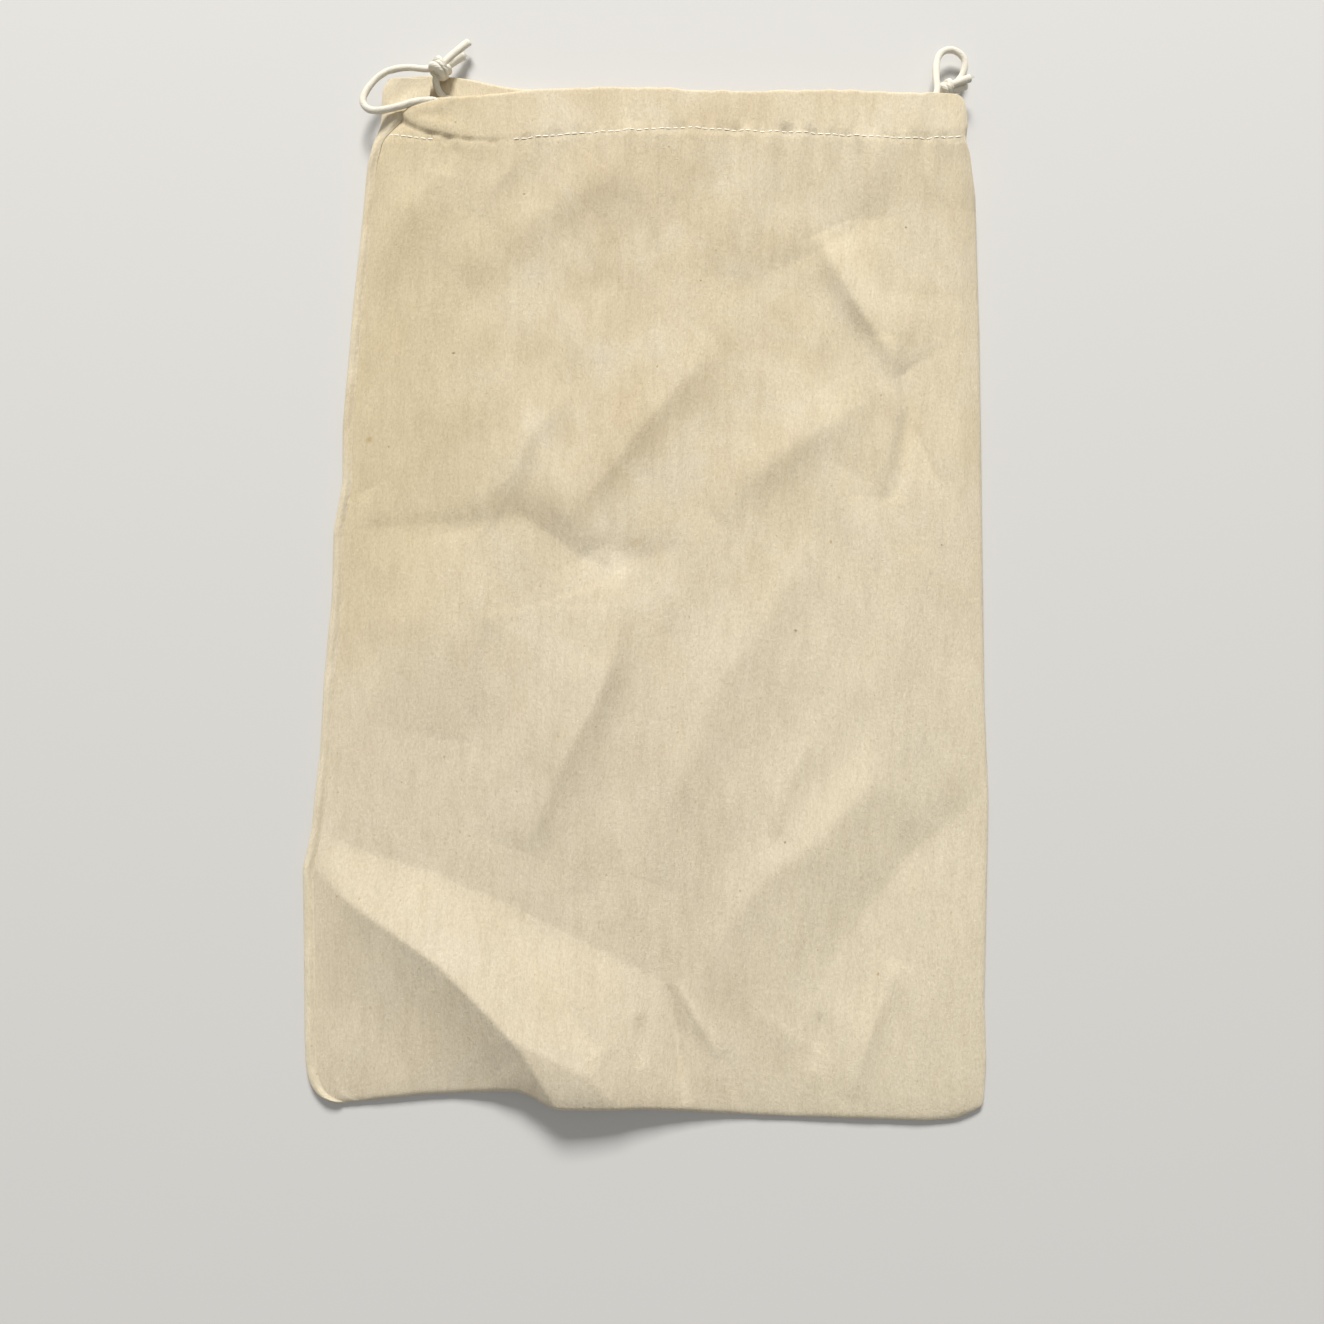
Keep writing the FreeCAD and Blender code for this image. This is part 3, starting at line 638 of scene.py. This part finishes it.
# Creases and swells in the front: line, height, width to its left, width to its right, and how
# sharp its crest is, from 1, a crease, to 2, a swell. Lines run down the bag.
FOLDS = (
    # The long S down the middle: a gentle rise from the left, then a quick drop.
    (((-22, 243), (-14, 230), (-12, 216), (-16, 194), (-25, 172), (-38, 146), (-52, 110)),
     2.4, 6.5, 25, 1.5),
    (((-66, 262), (-50, 252), (-33, 240), (-12, 231)), -1.8, 7, 22, 1.5),
    (((-32, 244), (-5, 239), (18, 245)), -0.9, 7, 14, 1.6),
    (((-17, 194), (-25, 154), (-28, 124), (-27, 93)), 1.1, 5, 12, 1.3),
    (((-15, 133), (-8, 99), (-4, 64)), 0.8, 3, 4, 1.3),
    (((27, 336), (5, 309), (-6, 297), (-20, 277), (-40, 254)), 1.7, 7.5, 16, 1.55),
    (((-30, 393), (-26, 360), (-24, 328)), 0.6, 3, 4, 1.3),
    # Across the top.
    (((-10, 440), (-20, 411), (-53, 393), (-86, 362)), 1.6, 13, 16, 1.7),
    (((-58, 423), (-72, 407), (-80, 392)), 0.8, 6, 9, 1.5),
    (((-90, 420), (-114, 392), (-142, 345)), 1.6, 9, 14, 1.5),
    (((46, 440), (43, 399), (38, 366)), 1.2, 8, 16, 1.6),
    (((96, 436), (98, 395)), 0.9, 6, 9, 1.5),
    (((-92, 425), (-96, 410)), -0.6, 4, 4, 1.4),
    (((104, 399), (74, 380), (44, 365)), -0.6, 6, 6, 1.6),
    # Sharp creases at the upper right.
    (((72, 386), (87, 357), (110, 324)), 2.9, 18, 5.5, 1.4),
    (((110, 342), (113, 307), (108, 266)), -1.5, 4.6, 4.6, 1.5),
    (((105, 340), (107, 305), (102, 268)), 2.1, 4.6, 10, 1.5),
    (((112, 307), (119, 292), (129, 269)), -0.7, 2.4, 2.4, 1.2),
    (((104, 318), (68, 293), (46, 277), (30, 256)), 1.6, 10, 13, 1.6),
    # Long diagonals towards the lower right.
    (((88, 278), (55, 219), (33, 186), (17, 152), (4, 98)), 2.2, 15, 15, 1.7),
    (((116, 246), (110, 196), (98, 143), (74, 116), (53, 101), (32, 73), (14, 38)),
     1.8, 14, 11, 1.6),
    (((70, 160), (60, 138), (56, 118)), 0.8, 5, 6, 1.4),
    (((172, 162), (145, 137), (114, 110), (88, 76), (62, 36)), -2.7, 32, 15, 1.45),
    (((109, 66), (96, 32), (89, 8)), 1.5, 6, 9, 1.3),
    (((76, 44), (72, 20)), -0.8, 5, 5, 1.3),
    # The left side.
    (((-156, 247), (-111, 251), (-80, 253), (-46, 258)), -0.7, 5, 14, 1.6),
    (((-132, 214), (-108, 206), (-84, 210)), 1.3, 26, 34, 1.8),
    (((-82, 250), (-74, 210), (-84, 158)), 1.6, 7, 26, 1.5),
    (((-120, 232), (-131, 200), (-136, 157), (-137, 130)), -1.0, 8, 10, 1.5),
    (((-37, 314), (-55, 291), (-63, 273), (-80, 259)), 1.0, 6, 10, 1.5),
    (((-139, 258), (-131, 266), (-120, 270)), -0.8, 4, 4, 1.2),
    # Small ones by the bottom edge.
    (((11, 55), (15, 33), (19, 6)), -2.1, 3.2, 3.2, 1.3),
    (((-1, 43), (0, 22)), -0.9, 2.6, 2.6, 1.2),
    (((14, 56), (24, 39), (34, 25)), 1.4, 4, 4, 1.3),
    (((-31, 49), (-26, 38), (-18, 28)), -0.6, 4, 4, 1.2),
)
FOLD_DEPTH = 1.15
# The big fold at the lower left: it rises from one line to its crest, then falls to the corner.
SLOPE_TOP = (
    (-160, 124), (-145, 117), (-127, 110), (-92, 100), (-57, 86), (-23, 70), (7, 56), (34, 25),
    (50, -12))
CREST = (
    (-152, 108), (-139, 99), (-126, 88), (-108, 77), (-86, 63), (-65, 44), (-49, 28), (-34, 4),
    (-28, -14))
BIG_FOLD_GRADE = 0.25
BIG_FOLD_REACH = 46             # how far it goes on rising
BIG_FOLD_FALL = 43.0            # from its crest to the flat cloth of the corner
# Where the front casing ends: from its stitch row, round its nose, and back under the cord.
NOSE = (
    (-68, 426.3), (-75, 426.0), (-82.3, 426.5), (-89.6, 427.3), (-96.4, 428.4), (-104.6, 430.1),
    (-109.1, 432.0), (-112.8, 434.2), (-115.7, 437.0), (-117.6, 440.6), (-113.0, 443.4),
    (-106.0, 444.6), (-99.0, 446.2), (-92.0, 452.0))
# Heights up the bag: of its middle, beside the left seam, and beside the right edge.
MIDDLE_HEIGHTS = (
    (0, 3.7), (60, 5.4), (250, 7.7), (360, 9.3), (400, 11.2), (430, 13.4), (459, 13.6))
LEFT_HEIGHTS = (
    (0, 2.9), (60, 3.4), (250, 4.4), (360, 5.2), (400, 6.0), (425, 7.6), (436, 8.3), (459, 8.3))
RIGHT_HEIGHTS = (
    (0, 2.8), (60, 3.6), (250, 4.8), (360, 5.9), (400, 7.6), (424, 11.0), (436, 12.9),
    (459, 12.9))


def height_at(y, heights):
    return np.interp(y, *np.array(heights, float).T)


def front_height(x, y):
    """Height of the front panel's outer face, before its edges turn down."""
    left, right, low = x - left_edge(y), right_edge(y) - x, y - bottom_edge(x)
    row = y - stitch_row(x)
    body = height_at(y, MIDDLE_HEIGHTS)
    body = body - 0.9 * smooth(-x, 66, 118) * smooth(y, 375, 425)
    calm = 1 - smooth(y, 392, 430)
    body = body + 0.35 * calm * waves(x, y * 0.6, 26, 45, 120, 3)
    body = body + 0.12 * waves(x, y * 0.4, 30, 12, 34, 4) * (0.4 + 0.6 * calm)
    # Faint warpwise rumple that every washed flannel bag has.
    body = body + 0.07 * waves(x, y * 0.25, 24, 5, 12, 5)
    for line, height, wide_left, wide_right, power in FOLDS:
        distance, share = away_from(line, x, y)
        width = np.where(distance < 0, wide_left, wide_right)
        ends = np.sin(math.pi * np.clip(share, 0, 1)) ** 0.7
        body = body + FOLD_DEPTH * height * ends * np.exp(-(np.abs(distance) / width) ** power)
    slope, _ = away_from(SLOPE_TOP, x, y)
    past, _ = away_from(CREST, x, y)
    up = slope - 0.9 * np.clip(past, 0, None)
    rise = BIG_FOLD_GRADE * np.clip(up + 0.8 * np.exp(-(up / 2) ** 2), 0, BIG_FOLD_REACH)
    rise = rise * (1 - 0.45 * smooth(x, -40, 34))
    fall = (1 - np.clip(past / BIG_FOLD_FALL, 0, 1)) ** 2.0
    body = body + rise * fall
    # Seam allowance showing through at the lower left.
    body = body + 0.55 * smooth(-left, -13.6, -12.4) * (1 - smooth(y, 70, 100))
    # Casing: a flat tube, puckered by its stitches.
    casing = 9.6 + 3.5 * smooth(x, -126, -102) + 0.5 * smooth(x, -90, -50)
    busy = smooth(x, -70, 30)
    ripple = (0.10 + 0.24 * busy) * waves(x, y * 0.12, 22, 7, 19, 6)
    casing = casing + np.clip(ripple, -0.45, 0.8)
    pucker = waves(x, y * 0.15, 18, 6, 20, 7) * np.exp(-np.abs(row) / 10)
    casing = casing + 0.20 * np.clip(pucker, -1.4, 1.4)
    body = body + 0.30 * pucker
    inside, _ = away_from(NOSE, x, y)
    near_nose = 1 - smooth(x, -82, -68)
    top = smooth(row, -1.2, 5.0) * (1 - near_nose) + smooth(inside, -0.7, 0.9) * near_nose
    # Lower beside the left seam, and lower still where it slips under the turned-over corner.
    past_seam = left - turned_over(y)
    brim = height_at(y, LEFT_HEIGHTS)
    body = brim + (body - brim) * (1 - np.exp(-np.clip(past_seam, 0, None) / 9))
    body = body - 0.9 * (1 - smooth(past_seam, -1.6, -0.2)) * smooth(y, 428, 434)
    height = body * (1 - top) + casing * top
    trough = 0.16 + 0.08 * waves(x, y * 0, 10, 6, 18, 8)
    trough = trough * np.exp(-(row / 1.8) ** 2) * smooth(x, -122, -112)
    height = height - trough * (1 - near_nose * top)
    # A groove along the nose, and the roll of cloth inside it.
    groove = 0.35 * np.exp(-(inside / 0.9) ** 2) * near_nose
    roll = 0.4 * np.exp(-((inside - 4.0) / 3.0) ** 2) * near_nose
    height = height - groove * (1 - smooth(x, -80, -68))
    height = height + roll * (1 - smooth(x, -100, -78))
    # Lower towards the right edge and the bottom.
    rim = height_at(y, RIGHT_HEIGHTS)
    reach = 10 - 6.5 * smooth(row, -12, 2)
    height = height - (height - rim) * np.exp(-np.clip(right, 0, None) / reach)
    height = height * (1 - 0.24 * np.exp(-np.clip(low, 0, None) / 7))
    return height


def rounded(distance, radius):
    """0 at an edge, 1 a radius inside it, along a quarter circle."""
    t = 1 - np.clip(distance / radius, 0, 1)
    return np.sqrt(np.clip(1 - t * t, 0, 1))


def edge_steps(length, start, end, coarse=1.35):
    """Places from 0 to 1, closer together at the ends that turn down."""
    fine = np.array([0, 0.12, 0.35, 0.7, 1.15, 1.7, 2.4, 3.2]) / length
    middle = np.linspace(fine[-1] if start else 0, 1 - fine[-1] if end else 1,
                         int(round(length / coarse)))
    parts = [fine[:-1]] if start else []
    parts.append(middle)
    if end:
        parts.append(1 - fine[:-1][::-1])
    return np.concatenate(parts)


def grid_faces(rows, columns):
    a = (np.arange(rows - 1)[:, None] * columns + np.arange(columns - 1)[None, :]).ravel()
    return np.stack([a, a + 1, a + columns + 1, a + columns], axis=1)


def grid_normals(p):
    across = np.gradient(p, axis=1)
    down = np.gradient(p, axis=0)
    return unit(np.cross(across, down))


def halves(name, points, split, panel):
    """Cuts a panel along the column at x = 0 into a left and a right object, each with its
    placement baked into its mesh.
    """
    rows, columns, _ = points.shape
    normals = grid_normals(points)
    step_x = np.linalg.norm(np.diff(points, axis=1), axis=2)
    step_y = np.linalg.norm(np.diff(points, axis=0), axis=2)
    u = np.concatenate([np.zeros((rows, 1)), np.cumsum(step_x, axis=1)], axis=1)
    u = u - u[:, split:split + 1]
    v = np.concatenate([np.zeros((1, columns)), np.cumsum(step_y, axis=0)], axis=0)
    uv = np.stack([u, v], axis=2)
    for part in (slice(0, split + 1), slice(split, columns)):
        p, n, w = points[:, part], normals[:, part], uv[:, part]
        side = "right" if p[:, :, 0].mean() > 0 else "left"
        obj = build("%s_%s" % (name, side), p.reshape(-1, 3), grid_faces(rows, p.shape[1]),
                    w.reshape(-1, 2), FLANNEL, n.reshape(-1, 3))
        follow(obj)
        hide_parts(panel)


def follow(obj):
    """Bakes the object's placement into its mesh."""
    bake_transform(obj)


SLIT_HEM = 2.2                  # how deep the hem is beside the slits


def over_mouth(points, mouth, radius, deep, sign):
    """A panel with the rows that carry it over its mouth edge and down inside, as the casing's
    hem. The sign says which way it rolls: 1 down, -1 up."""
    x, _, height = points[-1].T
    rows = []
    for angle in np.linspace(90, -90, 11)[1:]:
        a = math.radians(angle)
        rows.append((mouth - radius + radius * math.cos(a),
                     height - sign * (radius - radius * math.sin(a))))
    y0, z0 = rows[-1]
    for share in np.linspace(0, 1, 14)[1:]:
        rows.append((y0 - deep * share, z0 + sign * 0.12 * np.sin(share * 9)))
    more = np.stack([np.stack([x, y, z], axis=1) for y, z in rows])
    return np.concatenate([points, more])


SEAM_HEIGHT = 1.7               # of the bottom seam where it lies lowest


def bottom_seam(x):
    """Height of the bottom seam: the big fold draws it up off the floor."""
    return SEAM_HEIGHT + 0.34 * np.clip(front_height(x, bottom_edge(x) + 8.0) - 4.2, 0, 12)


# ------------------------------------------------------------------ front panel
LEFT_WIDTH = 140.0              # from x = 0 to the left side, on average
RIGHT_WIDTH = 146.0             # and to the right side
SEAM_LINE = 5.2                 # from the left edge to the front panel's left edge
EDGE_ROUND = 2.6                # how far from an edge the cloth starts to turn down
SETTLE = 5                      # rounds after which the outline's x and y agree


def front_panel():
    t = edge_steps(FRONT_LENGTH, True, False)
    # Finer rows across the casing.
    t = np.concatenate([t[t < 0.915], np.linspace(0.915, 1, 52)])
    s_left = -(1 - edge_steps(LEFT_WIDTH, True, False))
    s_right = edge_steps(RIGHT_WIDTH, False, True)[1:]
    s = np.concatenate([s_left, s_right])
    split = len(s_left) - 1
    S, T = np.meshgrid(s, t)
    Y = T * FRONT_LENGTH
    for _ in range(SETTLE):
        # Beside the mouth the left edge follows the turned-over corner.
        inner = left_edge(Y) + np.minimum(turned_over(Y), SEAM_LINE)
        X = np.where(S < 0, -S * inner, S * right_edge(Y))
        radius = 0.65 + 1.45 * smooth(X, -105, -98) * (1 - smooth(X, 117, 124))
        low = bottom_edge(X)
        Y = low + T * (front_mouth(X) - radius - low)
    H = front_height(X, Y)
    turned = rounded(right_edge(Y) - X, EDGE_ROUND)
    side_low = 2.0 + 0.8 * smooth(Y, 300, 400) + 9.4 * smooth(Y, 428, 438)
    seam = rounded(X - left_edge(Y) - 5.0, 1.1)
    seam_low = height_at(Y, LEFT_HEIGHTS) - 0.35
    Z = seam_low + (H - seam_low) * seam
    Z = np.where(S > 0, side_low + (H - side_low) * turned, Z)
    foot = rounded(Y - low, EDGE_ROUND)
    base = bottom_seam(X)
    Z = base + (Z - base) * foot
    points = np.stack([X, Y, Z], axis=2)
    x_top = X[-1]
    deep = SLIT_HEM + 18.5 * smooth(x_top, -104, -99) * (1 - smooth(x_top, 117, 123))
    points = over_mouth(points, front_mouth(x_top), radius[-1], deep, 1)
    # Under the right edge to the seam.
    last = points[:, -1]
    under = []
    below = 0.35 + 11.8 * smooth(last[:, 1], 430, 438)
    for inward, share in ((0.1, 0.35), (0.5, 0.7), (1.3, 0.93), (2.4, 1.0)):
        q = last.copy()
        q[:, 0] -= inward
        q[:, 2] = q[:, 2] * (1 - share) + np.minimum(below, q[:, 2]) * share
        under.append(q)
    points = np.concatenate([points, np.stack(under, axis=1)], axis=1)
    return points, split


halves("front_cloth", *front_panel(), "front_panel")


# ------------------------------------------------------------------ back panel
def back_panel():
    # Columns run from the right seam, under the bag, to the left edge, then over it.
    right_cols = np.linspace(1, 0, 90)
    left_cols = np.linspace(0, 1, 88)[1:]
    over = np.linspace(0, 1, 17)[1:][None, :]
    T = edge_steps(LENGTH, True, False, 1.6)[:, None]
    # Under the bag.
    count_r, count_l = len(right_cols), len(left_cols)
    Y_u = T * np.full((1, count_r + count_l), LENGTH)
    for _ in range(SETTLE):
        y_r = np.clip(Y_u[:, :count_r], 0, FRONT_LENGTH)
        X_r = right_cols[None, :] * (right_edge(y_r) - 2.4)
        X_l = left_cols[None, :] * left_edge(np.clip(Y_u[:, count_r:], 0, 461))
        X_u = np.concatenate([X_r, X_l], axis=1)
        rad_u = 0.4 + 1.7 * smooth(X_u, -100, -82) * (1 - smooth(X_u, 117, 124))
        low = bottom_edge(X_u)
        Y_u = low + T * (back_mouth(X_u) - rad_u - low)
    Z_u = 0.35 + 0.18 * (1 + np.clip(waves(X_u, Y_u, 24, 25, 90, 12), -1.9, 2.5))
    # The turned-up left corner lifts off the floor.
    lift = smooth(-X_u, 108, 127) * smooth(Y_u, 400, 446)
    Z_u = Z_u + 3.2 * lift
    curl = 1.5 * (1 - rounded(X_u - left_edge(Y_u), EDGE_ROUND))
    Z_u = np.where(X_u < 0, Z_u + curl, Z_u)
    foot = rounded(Y_u - low, 2.0)
    base = bottom_seam(X_u)
    Z_u = Z_u + (base - SEAM_HEIGHT) * np.exp(-(Y_u - low) / 18)
    seam = np.maximum(base, Z_u)
    Z_u = seam + (Z_u - seam) * foot
    # Over the left edge to the seam, or to the free edge of the turned-over corner.
    x_edge = X_u[:, -1:]
    y_edge = Y_u[:, -1:]
    wide = turned_over(np.clip(y_edge, 0, 461.5))
    X_o = x_edge + wide * over ** 1.25
    lobe = smooth(y_edge, 385, 441)
    crown = height_at(y_edge, LEFT_HEIGHTS) + 0.75 - 0.20 * lobe
    end_z = height_at(y_edge, LEFT_HEIGHTS) - 0.40 + 0.70 * lobe
    across = X_o - x_edge
    rise = rounded(across, EDGE_ROUND + 1.6 * lobe)
    z_start = Z_u[:, -1:]
    Z_o = z_start + (crown - z_start) * rise
    drop = smooth(across - (wide - 2.4), 0.0, 2.4)
    Z_o = Z_o + (end_z - Z_o) * drop
    Y_o = np.broadcast_to(y_edge, X_o.shape)
    Z_o = Z_o + (0.12 + 0.25 * lobe) * waves(X_o, Y_o, 16, 8, 30, 14) * rise * (1 - drop)
    # The corner's mouth edge leans back towards the middle.
    Y_o = Y_o + (T > 0.9) * smooth(y_edge, 445, 461) * (across / np.maximum(wide, 1)) * 0.6
    base = bottom_seam(X_o)
    Z_o = base + (Z_o - base) * rounded(Y_o - bottom_edge(X_o), 3.0)
    parts = [np.stack([X_u, Y_u, Z_u], axis=2), np.stack([X_o, Y_o, Z_o], axis=2)]
    points = np.concatenate(parts, axis=1)
    under = X_u.shape[1]
    x_top, y_top, _ = points[-1].T
    # The rolled edge between the two parts is a fold, not a mouth edge.
    r_top = np.concatenate([rad_u[-1], np.full(X_o.shape[1], 0.55)])
    r_top[under - 3:under + 3] = 0.3
    sign = np.concatenate([np.full(under, -1.0), np.full(X_o.shape[1], 1.0)])
    sign[under - 2:under + 2] = 0.0
    deep = SLIT_HEM + 18.0 * smooth(x_top, -121, -114) * (1 - smooth(x_top, 117, 123))
    deep[under:] = 1.6
    return over_mouth(points, y_top + r_top, r_top, deep, sign), len(right_cols) - 1


halves("back_cloth", *back_panel(), "back_panel")


# ------------------------------------------------------------------ stitching
CASING_SEWING = (3.3, 2.3, 0.25)        # pitch, length and radius of a stitch
SEAM_SEWING = (3.2, 2.4, 0.26)
SEWING_STEP = 0.8               # between the points of a seam's line
STITCH_RINGS = 7
STITCH_SIDES = 7
UNDERSIDE = 0.62                # height of the stitches on the bag's underside


def stitches(name, line, lift, sewing, nodes):
    """Sewn stitches along a line, split at x = 0 into a left and a right object. They
    arch up from the cloth where lift is 1 and down where it is -1."""
    pitch, dash, radius = sewing
    step = np.linalg.norm(np.diff(line, axis=0), axis=1)
    along = np.concatenate([[0], np.cumsum(step)])
    arch = np.sin(np.linspace(0, math.pi, STITCH_RINGS))
    made = {"left": [], "right": []}
    draw = np.random.default_rng(len(name))
    for start in np.arange(0.4, along[-1] - pitch, pitch):
        size = dash * draw.uniform(0.82, 1.12)
        where = np.linspace(start, start + size, STITCH_RINGS)
        path = np.stack([np.interp(where, along, line[:, k]) for k in range(3)], axis=1)
        path[:, 2] += (arch * 0.10 + 0.01) * lift
        path += draw.normal(0, 0.05, 3) * (1, 1, 0.3)
        side = "left" if path[:, 0].mean() < 0 else "right"
        made[side].append((path, radius * 1.15, radius * 0.5))
    for side, tubes in made.items():
        if not tubes:
            continue
        obj = tube_bundle(
            "%s_%s" % (name, side), tubes, STITCH_SIDES, THREAD_LOOK)
        follow(obj)
        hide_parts(*nodes)


def seam_line(xs, ys, zs):
    return np.stack(np.broadcast_arrays(xs, ys, zs), axis=1)


xs = np.arange(-123.0, 138.0, SEWING_STEP)
ys = stitch_row(xs) - 0.1
# The casing's nose folds over part of the row.
hidden = 1.0 * smooth(xs, -102, -97) * (1 - smooth(xs, -72, -64))
stitches("front_casing_stitches", seam_line(xs, ys, front_height(xs, ys) - hidden),
         1.0, CASING_SEWING, ["front_casing_stitching"])
xs = np.arange(-116.0, 136.0, SEWING_STEP)
stitches("back_casing_stitches", seam_line(xs, stitch_row(xs) + 2.0, UNDERSIDE),
         -1.0, CASING_SEWING, ["back_casing_stitching"])
ys = np.arange(6.0, 424.0, SEWING_STEP)
stitches("left_seam_stitches",
         seam_line(left_edge(ys) + 5.1, ys, height_at(ys, LEFT_HEIGHTS) - 1.1),
         1.0, SEAM_SEWING, ["left_seam_stitching", "left_slit_bartack"])
stitches("right_seam_stitches", seam_line(right_edge(ys) - 2.9, ys, UNDERSIDE),
         -1.0, SEAM_SEWING, ["right_seam_stitching", "right_slit_bartack"])
xs = np.arange(-128.0, 133.0, SEWING_STEP)
stitches("bottom_seam_stitches",
         seam_line(xs, bottom_edge(xs) + 0.3, bottom_seam(xs) - 0.5),
         1.0, SEAM_SEWING, ["bottom_seam_stitching"])


# ------------------------------------------------------------------ floor and light
floor_mesh = bpy.data.meshes.new("floor")
floor_mesh.from_pydata([(-3, -3, 0), (3, -3, 0), (3, 3, 0), (-3, 3, 0)], [], [(0, 1, 2, 3)])
floor = bpy.data.objects.new("floor", floor_mesh)
scene.collection.objects.link(floor)
floor_look, _, floor_shader = material("floor_paint")
floor_shader.inputs["Base Color"].default_value = (0.62, 0.62, 0.61, 1)
floor_shader.inputs["Roughness"].default_value = 0.85
floor_mesh.materials.append(floor_look)


def area_light(name, location, size, power, colour):
    data = bpy.data.lights.new(name, "AREA")
    data.shape = "RECTANGLE"
    data.size, data.size_y = size
    data.energy = power
    data.color = colour
    obj = bpy.data.objects.new(name, data)
    obj.location = location
    direction = Vector((0, 0, 0)) - Vector(location)
    obj.rotation_euler = direction.to_track_quat("-Z", "Y").to_euler()
    scene.collection.objects.link(obj)


area_light("window", (-0.2, 3.5, 2.3), (1.5, 1.0), 245.0, (1.0, 0.975, 0.94))
area_light("ceiling", (0.0, -0.1, 2.4), (2.0, 2.0), 8.0, (1.0, 0.98, 0.96))
world = bpy.data.worlds.new("room")
world.use_nodes = True
world.node_tree.nodes["Background"].inputs["Color"].default_value = (1.0, 0.98, 0.95, 1)
world.node_tree.nodes["Background"].inputs["Strength"].default_value = 0.26
scene.world = world
scene.view_settings.view_transform = "Standard"
